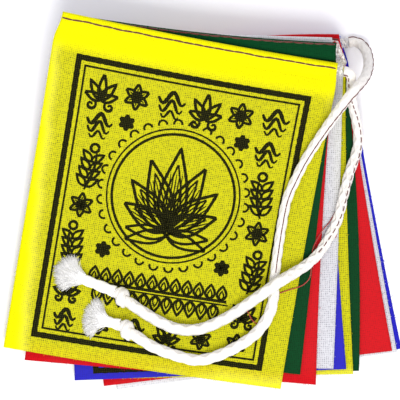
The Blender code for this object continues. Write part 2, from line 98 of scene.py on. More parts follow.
def smoothRoute(route, step):
    # Catmull-Rom curve through points in millimetres: its points in metres, and its length
    places = [np.array(p) * mm for p in route]
    outer = [2 * places[0] - places[1], *places, 2 * places[-1] - places[-2]]
    fine = []
    for before, start, end, after in zip(outer, outer[1:], outer[2:], outer[3:]):
        for t in np.linspace(0, 1, 20, endpoint=False):
            fine.append(0.5 * (2 * start + (end - before) * t
                               + (2 * before - 5 * start + 4 * end - after) * t ** 2
                               + (3 * start - before - 3 * end + after) * t ** 3))
    fine = np.array(fine + [places[-1]])
    run = runAlong(fine)
    stations = np.linspace(0, run[-1], round(run[-1] / step) + 1)
    return np.array([np.interp(stations, run, fine[:, i]) for i in range(3)]).T, run[-1]


def runAlong(points):
    # Distance from the first point to each, along the line
    return np.concatenate([[0], np.cumsum(np.linalg.norm(np.diff(points, axis=0), axis=1))])


def directions(points):
    along = np.gradient(np.asarray(points, float), axis=0)
    return along / np.linalg.norm(along, axis=1)[:, None]


def tube(points, radii, around, relief=None):
    # Rings round a path, without twist. relief gives each ring's radii as a share, by angle and run
    points = np.asarray(points, float)
    along = directions(points)
    side = np.cross(along[0], (0, 0, 1))
    if np.linalg.norm(side) < 1e-3:
        side = np.array([1.0, 0, 0])
    side = unit(side)
    run = 0
    rings, uvs = [], []
    for i, (place, tangent) in enumerate(zip(points, along)):
        side = unit(side - tangent * np.dot(side, tangent))
        lift = np.cross(side, tangent)
        if i:
            run += np.linalg.norm(points[i] - points[i - 1])
        for k in range(around):
            angle = math.tau * k / around
            share = relief(angle, run) if relief else 1
            out = side * math.cos(angle) + lift * math.sin(angle)
            rings.append(place + out * radii[i] * share)
            uvs.append((angle * radii[i], run))
    faces = []
    for i in range(len(points) - 1):
        for k in range(around):
            after = (k + 1) % around
            a, b = i * around, (i + 1) * around
            faces.append((a + k, a + after, b + after, b + k))
    last = (len(points) - 1) * around
    faces.append(tuple(range(around))[::-1])
    faces.append(tuple(range(last, last + around)))
    return rings, faces, uvs


def gather(parts):
    # Several (points, faces, uvs) as one
    points, faces, uvs = [], [], []
    for somePoints, someFaces, someUvs in parts:
        base = len(points)
        points += list(somePoints)
        uvs += list(someUvs)
        faces += [tuple(base + i for i in face) for face in someFaces]
    return points, faces, uvs


# Camera straight above, as in the photograph: 400 pixels span 181.4 mm at the height of the top flag
camera = {"height": 2.5, "lens": 492}


def setCamera():
    made = bpy.data.objects.new("camera", bpy.data.cameras.new("camera"))
    made.location = (0, 0, camera["height"])
    made.data.lens = camera["lens"]
    made.data.sensor_width = 36
    made.data.clip_end = 20
    bpy.context.scene.collection.objects.link(made)
    bpy.context.scene.camera = made


# Soft daylight from the foot of the picture
lighting = {
    "key": {"place": (0.02, -0.66, 1.45), "size": 0.62, "power": 18},
    "fill": {"place": (0.3, 0.2, 1.8), "size": 1.6, "power": 7},
    "sky": 0.76,
    "skyColour": "#F5F4FE",  # shadows take a little lavender from it
    "floor": "#FAFAFB",
    "floorHalf": 3,  # metres to each side
}


def setLight():
    bpy.context.scene.view_settings.view_transform = "Standard"
    for name in ("key", "fill"):
        facts = lighting[name]
        light = bpy.data.lights.new(name, "AREA")
        light.size = facts["size"]
        light.energy = facts["power"]
        made = bpy.data.objects.new(name, light)
        made.location = facts["place"]
        made.rotation_euler = (-Vector(facts["place"])).to_track_quat("-Z", "Y").to_euler()
        bpy.context.scene.collection.objects.link(made)
    world = bpy.data.worlds.new("studio")
    world.use_nodes = True
    background = world.node_tree.nodes["Background"]
    background.inputs["Color"].default_value = linearColour(lighting["skyColour"])
    background.inputs["Strength"].default_value = lighting["sky"]
    bpy.context.scene.world = world
    mesh = bpy.data.meshes.new("floor")
    far = lighting["floorHalf"]
    corners = [(-far, -far, 0), (far, -far, 0), (far, far, 0), (-far, far, 0)]
    mesh.from_pydata(corners, [], [(0, 1, 2, 3)])
    # Plain uncoated paper: matt, so the object's shadow is all that shows on it
    paper, _, shader = newMaterial("matt white paper", 0.9)
    shader.inputs["Base Color"].default_value = linearColour(lighting["floor"])
    mesh.materials.append(paper)
    made = bpy.data.objects.new("floor", mesh)
    bpy.context.scene.collection.objects.link(made)


muslin = {
    # Dyed cloth as the photograph shows it
    "dyes": {"yellow": "#EEE900", "green": "#05401F", "red": "#C81019", "white": "#E2E2E2",
             "blue": "#2825B4"},
    "threads": 0.85 * mm,  # drawn coarser than the 0.4 mm of real muslin, so that it shows
    "wander": 2.381 * mm,  # the threads bend to the sides over this length
    "slubs": 1.5385 * mm,  # length of a thick place in a thread
    "patches": 16.667 * mm,  # size of the places that took more or less dye
    # How much of what lies below shows through the open weave; it shows most in pale cloth
    "sheer": {"yellow": 0.8, "white": 0.42, "green": 0.04, "red": 0.06, "blue": 0.08},
    # Painted shade in the gaps between threads: how dark they are
    "gapShade": {"yellow": 0.72, "white": 0.58, "green": 0.5, "red": 0.62, "blue": 0.65},
    # What shows through: the share of its dye that is left in the shade, and a little grey
    "shadedDye": 0.22,
    "shadedGrey": 0.02,
    "touching": 2 * mm,  # a layer this near shows in full,
    "fadesOver": 9 * mm,  # and no longer when it is this much farther down
    # At the head the cloth is double: nothing shows as far as the first, and all from the second
    # on, in millimetres from the fold
    "hemHides": (13, 18),
}


def weaveHeight(tree, uv):
    # Height of plain weave from two crossed sets of threads, nudged so that they aren't ruled lines
    pitch = muslin["threads"]
    wander = addNode(tree, "ShaderNodeTexNoise", None,
                     {"Vector": uv, "Scale": 1 / muslin["wander"], "Detail": 2})
    nudge = addNode(tree, "ShaderNodeVectorMath", {"operation": "MULTIPLY_ADD"},
                    {0: wander.outputs["Color"], 1: (1.3 * pitch,) * 3, 2: uv})
    split = addNode(tree, "ShaderNodeSeparateXYZ", None, {0: nudge.outputs[0]})
    rows = []
    for axis in ("X", "Y"):
        turn = addNode(tree, "ShaderNodeMath", {"operation": "MULTIPLY"},
                       {0: split.outputs[axis], 1: math.tau / pitch})
        wave = addNode(tree, "ShaderNodeMath", {"operation": "SINE"}, {0: turn.outputs[0]})
        rows.append(addNode(tree, "ShaderNodeMath", {"operation": "MULTIPLY_ADD"},
                            {0: wave.outputs[0], 1: 0.5, 2: 0.5}))
    # 1 in the gaps between threads of both sets
    return addNode(tree, "ShaderNodeMath", {"operation": "MULTIPLY"},
                   {0: rows[0].outputs[0], 1: rows[1].outputs[0]}).outputs[0]


def printedMuslin(name, dye):
    # Thin open-weave cotton, piece-dyed: matt, a little fuzzy, and what lies below shows in its gaps
    made, tree, shader = newMaterial(name, 0.95, specular=0.08)
    dyeColour, sheer = linearColour(muslin["dyes"][dye]), muslin["sheer"][dye]
    uv = addNode(tree, "ShaderNodeUVMap", {"uv_map": "cloth"}).outputs[0]
    gaps = weaveHeight(tree, uv)
    # Slubs: threads are thicker in some places, so the gaps close there
    slubs = addNode(tree, "ShaderNodeTexNoise", None,
                    {"Vector": uv, "Scale": 1 / muslin["slubs"], "Detail": 2})
    openness = addNode(tree, "ShaderNodeMapRange", None,
                       {"Value": slubs.outputs[0], "From Min": 0.34, "From Max": 0.62,
                        "To Min": 0.1, "To Max": 1})
    openings = addNode(tree, "ShaderNodeMath", {"operation": "MULTIPLY"},
                       {0: gaps, 1: openness.outputs[0]})
    below = addNode(tree, "ShaderNodeAttribute", {"attribute_name": "below"})
    # The dye took a little unevenly
    patchy = addNode(tree, "ShaderNodeTexNoise", None,
                     {"Vector": uv, "Scale": 1 / muslin["patches"], "Detail": 4})
    dyed = addNode(tree, "ShaderNodeMix", {"data_type": "RGBA"},
                   {"Factor": patchy.outputs[0], 6: dyeColour,
                    7: tuple(0.86 * c for c in dyeColour[:3]) + (1,)})
    seen = addNode(tree, "ShaderNodeMath", {"operation": "MULTIPLY_ADD", "use_clamp": True},
                   {0: openings.outputs[0], 1: sheer * 0.8, 2: sheer * 0.4})
    seenHere = addNode(tree, "ShaderNodeMath", {"operation": "MULTIPLY"},
                       {0: seen.outputs[0], 1: below.outputs["Alpha"]})
    colour = addNode(tree, "ShaderNodeMix", {"data_type": "RGBA"},
                     {"Factor": seenHere.outputs[0], 6: dyed.outputs[2], 7: below.outputs["Color"]})
    # Painted shade: the colour is darkened in the gaps between threads
    shaded = addNode(tree, "ShaderNodeMapRange", None,
                     {"Value": openings.outputs[0], "From Max": 0.8, "To Min": 1,
                      "To Max": muslin["gapShade"][dye]})
    darker = addNode(tree, "ShaderNodeVectorMath", {"operation": "SCALE"},
                     {0: colour.outputs[2], "Scale": shaded.outputs[0]})
    tree.links.new(darker.outputs[0], shader.inputs["Base Color"])
    bump = addNode(tree, "ShaderNodeBump", {"invert": True},
                   {"Strength": 0.35, "Distance": 0.1 * mm, "Height": gaps})
    tree.links.new(bump.outputs[0], shader.inputs["Normal"])
    return made


def blockInk():
    # Black-brown ink stamped from a carved block: matt, thinner over the gaps of the weave
    made, tree, shader = newMaterial("block printing ink on muslin", 0.85, specular=0.05)
    uv = addNode(tree, "ShaderNodeUVMap", {"uv_map": "cloth"}).outputs[0]
    gaps = weaveHeight(tree, uv)
    colour = addNode(tree, "ShaderNodeMix", {"data_type": "RGBA"},
                     {"Factor": gaps, 6: linearColour("#0C0C05"), 7: linearColour("#3A3A12")})
    tree.links.new(colour.outputs[2], shader.inputs["Base Color"])
    return made


# Length of the fibres that show in cord and thread, drawn thicker than real ones so that they show,
# and how many times shorter they are across it
fibre = {"long": 1.1111 * mm, "slender": 3}


def spunFibre(name, code, dark, roughness):
    # Loosely spun cotton or sewing thread: matt and fuzzy, with fine fibres along its strands
    made, tree, shader = newMaterial(name, roughness, 0.4)
    uv = addNode(tree, "ShaderNodeUVMap", {"uv_map": "cloth"}).outputs[0]
    stretched = addNode(tree, "ShaderNodeVectorMath", {"operation": "MULTIPLY"},
                        {0: uv, 1: (fibre["slender"], 1, 1)})
    fibres = addNode(tree, "ShaderNodeTexNoise", None,
                     {"Vector": stretched.outputs[0], "Scale": 1 / fibre["long"], "Detail": 3})
    colour = addNode(tree, "ShaderNodeMix", {"data_type": "RGBA"},
                     {"Factor": fibres.outputs[0], 6: linearColour(code), 7: linearColour(dark)})
    tree.links.new(colour.outputs[2], shader.inputs["Base Color"])
    bump = addNode(tree, "ShaderNodeBump", None,
                   {"Strength": 0.4, "Distance": 0.2 * mm, "Height": fibres.outputs[0]})
    tree.links.new(bump.outputs[0], shader.inputs["Normal"])
    return made


cord = {
    "thick": 5.2 * mm,
    "pitch": 6.5 * mm,  # length of one crossing of the plait
    "strands": 4,
    "relief": 0.12,  # share of the radius that the strands stand out
    "sewnThin": 0.88,  # the seam draws the cord in to this share
    "swellsOver": 0.08,  # share of the length in which it gets its full width again
    "seamThread": 0.46 * mm,  # thicker than real thread, so that it shows
    "step": 0.6 * mm,
    "around": 24,
    "grooved": (0.2, 0.28, 0.5, 0.6),  # shares of the length where the deeper plait starts and ends
}

# The two free ends of the cord, in millimetres along their middle
routes = {
    "cord_a": [
        (67.95, 71.95, 2.75), (70.7, 72.1, 2.8), (73.5, 70.8, 4.4), (75.5, 68.0, 8.6),
        (76.4, 64.4, 14.0), (76.3, 60.8, 20.4), (75.3, 57.2, 27.0), (73.3, 53.8, 33.0),
        (70.4, 50.3, 37.2), (67.0, 46.4, 37.8), (63.6, 41.9, 33.8), (60.1, 37.0, 27.8),
        (56.2, 31.2, 23.0), (52.2, 25.2, 19.9), (47.6, 17.7, 18.0), (43.5, 9.5, 17.1),
        (39.5, 0.0, 16.4), (37.2, -11.3, 16.1), (35.4, -23.1, 15.9), (34.0, -34.5, 15.9), (33.1, -46.3, 16.0),
        (29.9, -54.9, 16.1), (23.1, -62.6, 16.2), (11.3, -69.4, 16.4), (0.0, -72.7, 16.5),
        (-10.0, -70.9, 16.6), (-21.3, -66.7, 16.7), (-29.3, -61.6, 16.7),
    ],
    "cord_b": [
        (64.85, 58.1, 33.2), (66.8, 57.7, 33.0), (68.2, 56.1, 31.7), (68.5, 53.3, 28.9),
        (68.4, 49.9, 24.9), (68.9, 46.0, 20.0), (69.8, 41.6, 15.2), (71.0, 37.0, 11.3),
        (71.9, 32.0, 8.8), (72.1, 26.6, 7.8), (71.0, 20.8, 8.3), (68.2, 12.7, 9.6), (65.8, 4.1, 11.2),
        (63.5, -5.9, 12.1), (60.8, -13.2, 12.5), (54.9, -23.1, 13.7), (49.0, -29.0, 15.3),
        (43.2, -32.8, 18.0), (38.4, -35.6, 20.9), (34.4, -38.2, 22.0), (29.6, -41.6, 20.7),
        (24.0, -45.6, 17.9), (18.0, -49.8, 16.5), (10.6, -54.3, 16.3), (0.0, -58.6, 16.4),
        (-10.0, -58.6, 16.5), (-18.4, -55.3, 16.6), (-27.2, -50.0, 16.7), (-31.6, -46.9, 16.7),
    ],
}

# neck: where the cord starts to fray. spread in degrees, lengths at the sides and in the middle.
# stitched: share of the length that was sewn. seamTurns: the seam's angle from the top, along it.
# stitch: length and gap in millimetres. grooves: how much deeper the plait is near the crossing
ends = {
    "cord_a": {"knot": "knot_a", "tuft": "tuft_a", "neck": (-44.6, -54.5), "spread": 82,
               "length": (8.6, 7.6), "seed": 3, "stitched": 0.62, "stitch": (4.1, 0.15),
               "seamTurns": (1.3, 1.2, 0.45, 0.2, 0.1), "grooves": 1},
    "cord_b": {"knot": "knot_b", "tuft": "tuft_b", "neck": (-55.0, -35.2), "spread": 74,
               "length": (8.2, 10.6), "seed": 5, "stitched": 0.5, "stitch": (2.3, 1.3),
               "seamTurns": (-0.9, 0.1, 0.8, 0.6, -0.2), "grooves": 2.6},
}


def plait(angle, run):
    # Strands that cross each other round the cord, in two opposite spirals
    turn = math.tau * run / (cord["pitch"] * cord["strands"] / 2)
    one = math.cos(cord["strands"] * angle + cord["strands"] * turn / 2)
    other = math.cos(cord["strands"] * angle - cord["strands"] * turn / 2)
    return 1 - cord["relief"] * 0.8 + cord["relief"] * max(one, other)


def firstBelow(tree, x, y, z):
    # Where a line straight down from x, y, z meets the mesh, or None
    return tree.ray_cast(Vector((x, y, z)), Vector((0, 0, -1)))[0]


def topOf(x, y, trees):
    hits = [firstBelow(tree, x, y, abovePile) for tree in trees]
    heights = [hit.z for hit in hits if hit]
    return max(heights) if heights else 0


knot = {
    "long": 8.4 * mm,
    "core": (-4.7, 4.5),  # ends of the cord's own run through the knot, in millimetres
    "coreReach": 2.55 * mm,  # radius of that run
    "coreNeck": 0.6 * mm,  # it is drawn in by this at its middle
    "turns": 2.3,  # of the cord round itself
    "reach": 2.55 * mm,  # from the knot's axis to the middle of a turn
    "wrapReach": 1.75 * mm,  # radius of the cord in a turn
    "wrapLong": 3 * mm,  # from the first turn to the last
    "lean": 1.5 * mm,  # the turns slant by this to either side
}


def buildKnot(facts, direction, materials):
    # Two turns of the cord drawn up tight round its own middle
    low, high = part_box(facts["knot"])
    middle = np.array((low + high) / 2)
    side = unit(np.cross(direction, (0, 0, 1)))
    lift = np.cross(side, direction)
    core = [middle + direction * x * mm for x in np.linspace(*knot["core"], 17)]
    necks = [math.cos(math.pi * x) ** 2 for x in np.linspace(-0.5, 0.5, 17)]
    radii = [knot["coreReach"] - knot["coreNeck"] * neck for neck in necks]
    wrap = []
    for t in np.linspace(0, 1, 80):
        angle = math.tau * (knot["turns"] * t + 0.1)
        reach = knot["reach"] * min(1, 5 * t, 5 * (1 - t)) ** 0.5
        lean = knot["lean"] * math.sin(angle + 0.6)
        wrap.append(middle + direction * ((t - 0.5) * knot["wrapLong"] + lean)
                    + (side * math.cos(angle) + lift * math.sin(angle)) * reach)
    parts = [tube(core, radii, 20, plait), tube(wrap, [knot["wrapReach"]] * len(wrap), 16, plait)]
    made = addPiece(facts["knot"] + "_tied", *gather(parts), materials["cord"], "cotton_cord")
    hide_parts(facts["knot"])
    return made, middle + direction * (knot["long"] / 2)


tuft = {
    "tailThick": 5.4 * mm,
    "clear": 0.3 * mm,  # from the cloth
    "fibres": 1700,
    "fibreReach": (0.1, 0.17),  # radius at the root, in millimetres
    "bundle": 2.4 * mm,  # half the width of the bundle where it starts to fan out
    "height": 3.6 * mm,  # of the bundle there
    "rootedIn": 2.6,  # fibres start up to this far inside the tail, in millimetres
    "waves": 0.5,  # how far they sway to the sides, in millimetres
}


def buildTuft(facts, start, direction, materials, trees):
    # The tail behind the knot, then hundreds of loose fibres that fan out on the cloth
    dice = np.random.default_rng(facts["seed"])
    above = tuft["tailThick"] / 2 + tuft["clear"]
    neck = np.array([*facts["neck"], 0]) * mm
    neck[2] = topOf(neck[0], neck[1], trees) + above
    begin = np.array(start)
    begin[2] = topOf(begin[0], begin[1], trees) + above
    tail = [begin + (neck - begin) * t for t in np.linspace(0, 1, 30)]
    radii = [tuft["tailThick"] / 2 * (1 - 0.12 * t) for t in np.linspace(0, 1, 30)]
    parts = [tube(tail, radii, 20, plait)]
    away = unit((neck - begin) * (1, 1, 0))
    side = np.cross((0, 0, 1), away)
    atSide, inMiddle = (value * mm for value in facts["length"])
    flare = atSide * math.sin(math.radians(facts["spread"]))
    for _ in range(tuft["fibres"]):
        share = dice.uniform(-1, 1) + dice.normal(0, 0.06)
        long = inMiddle * (1 - 0.3 * share ** 2) * (0.6 + 0.52 * dice.uniform(0, 1) ** 0.8)
        layer = dice.uniform(0, 1)
        begins = tuft["bundle"] * share
        root = neck - away * dice.uniform(0, tuft["rootedIn"]) * mm
        root[2] += (layer - 0.5) * tuft["height"]
        wave = dice.normal(0, tuft["waves"]) * mm
        strand = []
        for t in np.linspace(0, 1, 7):
            out = begins + (flare * share - begins) * t ** 1.7 + wave * math.sin(5 * t)
            place = root + away * (long + 1.2 * mm) * t * (1 - 0.12 * t * share ** 2) + side * out
            # It comes down to its own height in the heap, on the top flag
            floor = topOf(place[0], place[1], trees[:1]) + (0.3 + 3.2 * layer * (1 - 0.75 * t)) * mm
            place[2] = max(floor, root[2] * (1 - t) ** 1.5 + floor * (1 - (1 - t) ** 1.5))
            strand.append(place)
        reach = dice.uniform(*tuft["fibreReach"]) * mm
        parts.append(tube(strand, [reach * (1 - 0.5 * t) for t in np.linspace(0, 1, 7)], 3))
    made = addPiece(facts["tuft"] + "_frayed", *gather(parts), materials["fray"], "cotton_cord")
    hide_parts(facts["tuft"])
    return made


def stitchRow(points, lifts, long, gap, thick):
    # Dashes of sewing thread that lie on a line and dip in at their ends
    run = runAlong(points)
    parts = []
    long = run[-1] / round(run[-1] / (long + gap)) - gap
    start = 0
    while start + long < run[-1]:
        dash = []
        for t in np.linspace(0, 1, 6):
            at = start + long * t
            place = np.array([np.interp(at, run, points[:, i]) for i in range(3)])
            out = np.array([np.interp(at, run, lifts[:, i]) for i in range(3)])
            dash.append(place + out * thick * (math.sin(math.pi * t) * 0.6 - 0.15))
        parts.append(tube(dash, [thick / 2] * 6, 6))
        start += long + gap
    return parts


def buildCord(name, materials, trees):
    points, long = smoothRoute(routes[name], cord["step"])
    facts = ends[name]
    sewn = facts["stitched"]
    swells = (sewn, sewn + cord["swellsOver"])
    widths = np.interp(np.linspace(0, 1, len(points)), swells, (cord["sewnThin"], 1))
    radii = cord["thick"] / 2 * widths

    def surface(angle, run):
        deeper = np.interp(run / long, cord["grooved"], (1, facts["grooves"], facts["grooves"], 1))
        return 1 + (plait(angle, run) - 1) * deeper

    made = addPiece(name + "_plaited", *tube(points, radii, cord["around"], surface),
                    materials["cord"], "cotton_cord")
    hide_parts(name)
    direction = unit((points[-1] - points[-4]) * (1, 1, 0))
    knotPiece, behind = buildKnot(facts, direction, materials)
    tuftPiece = buildTuft(facts, behind, direction, materials, trees)
    # The machine stitch runs on along the cord past the flag
    count = round(len(points) * facts["stitched"])
    along = directions(points)[:count]
    left = np.cross((0, 0, 1), along)
    left = left / np.linalg.norm(left, axis=1)[:, None]
    up = np.cross(along, left)
    turns = np.interp(np.linspace(0, 1, count), np.linspace(0, 1, 5), facts["seamTurns"])[:, None]
    lifts = up * np.cos(turns) + left * np.sin(turns)
    line = points[:count] + lifts * radii[:count, None]
    stitch, gap = (value * mm for value in facts["stitch"])
    row = stitchRow(line, lifts, stitch, gap, cord["seamThread"])
    stitches = addPiece(name + "_stitching", *gather(row), materials["thread"], "cotton_cord")
    print("built", name, round(long, 4), "m")


# Ends of the machine stitch that came loose from the cords: seen from above, in millimetres
looseThreads = {
    "thick": 0.48 * mm,
    "clear": 0.5 * mm,  # from what it lies on
    "step": 0.8 * mm,
    "easing": 60,  # rounds of smoothing, so that it lies slack over small steps
    "routes": {
        "long": [(61.7, -5.4), (59, -10), (55.3, -14.5), (51.3, -22.7), (50.3, -34), (47.6, -38.1),
                 (44, -39.9), (40.8, -40.8), (36, -42.4), (32.7, -43.5)],
        "short": [(65.8, -3.6), (64, -10), (62.6, -14.5), (61.7, -17.2)],
        "curled": [(21.3, -49.9), (23.6, -54.4), (26.3, -56.7), (28.6, -58.5), (29.8, -57.5)],
    },
}


def addLooseThreads(material, trees):
    reach = looseThreads["thick"] / 2
    for name, route in looseThreads["routes"].items():
        flat, _ = smoothRoute([(x, y, 0) for x, y in route], looseThreads["step"])
        heights = np.array([topOf(x, y, trees) for x, y, _ in flat]) + looseThreads["clear"]
        for _ in range(looseThreads["easing"]):
            eased = np.convolve(np.pad(heights, 1, mode="edge"), (0.25, 0.5, 0.25), mode="valid")
            heights = np.maximum(heights, eased)
        points = np.column_stack([flat[:, :2], heights])
        thread = tube(points, [reach] * len(points), 6)
        made = addPiece("loose_thread_" + name, *thread, material, "cotton_cord")
    print("loose threads laid")


cloth = {
    "width": 127 * mm,
    "drop": 152 * mm,
    "hem": 9 * mm,
    "flatLong": 165 * mm,  # the drop, the turn over the cord and the hem
    "thick": 0.4 * mm,
    "columns": 98,
    "rows": 120,
    "rayColumns": 34,  # enough to follow the solids' long folds
    "ripple": 0.132 * mm,  # height of the soft unevenness of ironed muslin
    "rippleLong": (26, 9),  # lengths of its coarse and fine waves, in millimetres
    "pucker": 0.4 * mm,  # the stitching draws the header up a little
    "puckerAt": (6, 7),  # its middle and reach below the fold, in millimetres
}

# Sizes of the solids' headers, which the thin cloth follows. flareFrom: how far down the sides
# flare out. pastHem: face-down cloth reaches its flat height this far past the hem's raw edge
header = {"sheet": 1.0 * mm, "high": 3.8 * mm, "cordIn": 3.7 * mm, "flareFrom": 9 * mm,
          "pastHem": 1.2 * mm}

# Where the flags lie, top flag first: name, dye, face up, corners at the head and foot in
# millimetres, how far the sides flare below the header, and how far the four edges bow
flags = [
    ("flag_01_yellow", "yellow", True, (-61.7, 85.3), (62.4, 62.1), (-89.6, -67.1), (36.7, -86.0),
     (2.4, 1.4), (0, -0.8, 0.6, -1.0)),
    ("flag_02_green", "green", False, (-60.6, 84.6), (61.7, 71.4), (-80.7, -65.6), (45.6, -79.5),
     (2.0, 1.2), (0, 0, 0, -2.0)),
    ("flag_03_red", "red", True, (-59.0, 77.1), (60.3, 64.9), (-80.0, -73.0), (52.8, -84.2),
     (1.0, 1.0), (0, -1.2, 0, -4.0)),
    ("flag_04_white", "white", False, (-59.9, 77.5), (59.8, 73.9), (-68.0, -74.4), (60.8, -76.9),
     (2.0, 5.4), (0, 0.6, 0, 0)),
    ("flag_05_blue", "blue", True, (-60.3, 69.5), (58.1, 72.3), (-57.2, -82.3), (66.7, -77.1),
     (1.0, 1.0), (0, -1.4, 0, -5.0)),
    ("flag_06_yellow", "yellow", False, (-59.9, 64.0), (61.2, 71.0), (-56.9, -81.8), (69.9, -79.4),
     (1.0, 5.0), (0, -1.0, 0, 4.0)),
    ("flag_07_green", "green", True, (-59.0, 70.5), (62.1, 66.2), (-54.4, -81.2), (72.6, -78.0),
     (1.0, 3.6), (0, 2.8, 0, -4.0)),
    ("flag_08_red", "red", False, (-60.3, 62.0), (63.2, 75.8), (-43.9, -85.0), (87.8, -68.9),
     (1.0, 1.4), (0, -1.0, 0, 4.0)),
    ("flag_09_white", "white", True, (-58.6, 62.4), (63.2, 74.6), (-38.1, -86.6), (90.0, -69.5),
     (1.0, 0.6), (0, 0, 0, -5.0)),
    ("flag_10_blue", "blue", False, (-59.0, 61.7), (64.2, 75.1), (-36.3, -84.4), (92.1, -68.0),
     (1.0, 1.6), (0, -1.0, 0, 0)),
]


def planPlace(flag, across, down):
    # Where a point of the flag lies, seen from above
    headLeft, headRight, footLeft, footRight = (np.array(p) * mm for p in flag[3:7])
    flare, bow = flag[7:]
    share = down / cloth["drop"]
    headPlace = headLeft + across * (headRight - headLeft)
    footPlace = footLeft + across * (footRight - footLeft)
    right, downwards = unit(headRight - headLeft), unit(footPlace - headPlace)
    flared = (1 - math.exp(-((down / header["flareFrom"]) ** 3))) * (1 - share)
    bulge = 4 * share * (1 - share)
    left = (flare[0] * flared + bow[0] * bulge) * mm
    other = (flare[1] * flared + bow[1] * bulge) * mm
    arch = 4 * across * (1 - across)
    return (headPlace * (1 - share) + footPlace * share + right * (across * other - (1 - across) * left)
            + downwards * arch * (share * bow[2] - (1 - share) * bow[3]) * mm)


def heightAt(tree, flag, across, down):
    # Top of the flag's solid, a little inside its edges
    for inset in (0.004, 0.012, 0.03, 0.06):
        inside = min(max(across, inset), 1 - inset)
        x, y = planPlace(flag, inside, min(down, cloth["drop"] * (1 - inset)))
        hit = firstBelow(tree, x, y, abovePile)
        if hit:
            return hit.z
    return tree.find_nearest(Vector((x, y, 0.02)))[0].z


def smoothed(values, times):
    for _ in range(times):
        padded = np.pad(values, 1, mode="edge")
        values = (padded[:-2, 1:-1] + padded[2:, 1:-1] + padded[1:-1, :-2] + padded[1:-1, 2:]
                  + 2 * values) / 6
    return values


class ClothFlag:
    # One flag: its solid's folds on a fine grid, with the thin cloth in the middle of the solid
    def __init__(self, index, tree):
        self.index, self.flag = index, flags[index]
        self.name, self.dye, self.up = self.flag[:3]
        drop, nose = cloth["drop"], header["high"] / 2
        self.across = np.linspace(0, 1, cloth["columns"])
        self.downs = nose + (drop - nose) * np.linspace(0, 1, cloth["rows"]) ** 1.25
        coarse = np.linspace(0, 1, cloth["rayColumns"])
        found = np.array([[heightAt(tree, self.flag, a, d) for d in self.downs] for a in coarse])
        tops = np.array([np.interp(self.across, coarse, found[:, j]) for j in range(len(self.downs))])
        self.tops = smoothed(tops.T, 3) - header["sheet"] / 2
        self.ripple()

    def ripple(self):
        # Soft unevenness all over, and puckers at the seam
        coarse, fine = cloth["rippleLong"]
        middle, reach = cloth["puckerAt"]
        for i, a in enumerate(self.across):
            for j, d in enumerate(self.downs):
                place = Vector((a * cloth["width"] / mm, d / mm, self.index * 40))
                soft = noise.noise(place / coarse) + 0.45 * noise.noise(place / fine)
                atSeam = math.exp(-(((d / mm) - middle) / reach) ** 2)
                drawn = atSeam * noise.noise(place * Vector((0.14, 0.02, 1)))
                self.tops[i, j] += soft * cloth["ripple"] + drawn * cloth["pucker"]

    def place(self, across, down, lift=0):
        # A point of the laid cloth, for print and stitches
        x, y = planPlace(self.flag, across, down)
        column = np.clip(across * (len(self.across) - 1), 0, len(self.across) - 1.001)
        i, part = int(column), column - int(column)
        z = [np.interp(down, self.downs, self.tops[k]) for k in (i, i + 1)]
        return np.array([x, y, z[0] * (1 - part) + z[1] * part + lift])

    def section(self, i):
        # (distance from the fold, height) from the hem's raw edge round the fold to the foot
        nose = header["high"] / 2
        radius = (header["high"] - header["sheet"]) / 2
        middle = np.interp(header["cordIn"], self.downs, self.tops[i]) - radius
        hemDowns = np.linspace(cloth["hem"], nose, 7)
        turn = [math.radians(angle) for angle in (110, 140, 180, 220, 250)]
        arc = [(nose + radius * math.cos(a), middle + radius * math.sin(a)) for a in turn]
        body = [(d, z) for d, z in zip(self.downs, self.tops[i])]
        if self.up:
            hem = [(d, middle - radius) for d in hemDowns]
            return hem + arc[::-1] + body
        # Face down, the hem lies on top and the flag starts at the bottom of the fold
        hem = [(d, np.interp(d, self.downs, self.tops[i])) for d in hemDowns]
        beyond = cloth["hem"] + header["pastHem"]
        climb = np.interp(beyond, self.downs, self.tops[i]) - (middle - radius)
        lower = [(d, middle - radius + climb * max(0, (d - nose) / (beyond - nose)) ** 2)
                 if d < beyond else (d, z) for d, z in body]
        return hem + arc + lower

    def build(self, material, trees, dyesBelow):
        columns = [self.section(i) for i in range(len(self.across))]
        rows = len(columns[0])
        points, uvs = [], []
        for a, column in zip(self.across, columns):
            run = -cloth["hem"]
            for k, (d, z) in enumerate(column):
                if k:
                    run += math.dist(column[k - 1], column[k])
                points.append((*planPlace(self.flag, a, d), z))
                uvs.append((a * cloth["width"], run))
        faces = []
        for i in range(len(columns) - 1):
            for k in range(rows - 1):
                a, b = i * rows + k, (i + 1) * rows + k
                faces.append((a, a + 1, b + 1, b))
        made = addPiece("cloth_" + self.name, points, faces, uvs, material, self.dye + "_cotton")
        self.tintFromBelow(made, points, trees, dyesBelow)
        thicken = made.modifiers.new("cloth thickness", "SOLIDIFY")
        thicken.thickness = cloth["thick"]
        thicken.offset = 0
        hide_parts(self.name)
        return made

    def tintFromBelow(self, made, points, trees, dyesBelow):
        # What lies within a few millimetres below shows in the gaps of the weave
        colours = []
        rows = len(points) // len(self.across)
        hemRows = rows - len(self.downs)
        for k, (x, y, z) in enumerate(points):
            found = (0.3, 0.3, 0.3, 0)
            down = self.downs[max(0, k % rows - hemRows)] / mm
            single = np.interp(down, muslin["hemHides"], (0, 1))
            for tree, dye in zip(trees, dyesBelow):
                hit = firstBelow(tree, x, y, z)
                if hit:
                    beyond = max(0, z - hit.z - muslin["touching"])
                    near = max(0, 1 - beyond / muslin["fadesOver"])
                    dyed = linearColour(muslin["dyes"][dye])[:3]
                    shaded = [muslin["shadedDye"] * c + muslin["shadedGrey"] for c in dyed]
                    found = (*shaded, near * single)
                    break
            colours.append(found)
        blurred = np.array(colours).reshape(len(self.across), rows, 4)
        blurred = np.stack([smoothed(blurred[:, :, i], 5) for i in range(4)], axis=2)
        layer = made.data.attributes.new("below", "FLOAT_COLOR", "POINT")
        layer.data.foreach_set("color", blurred.ravel())


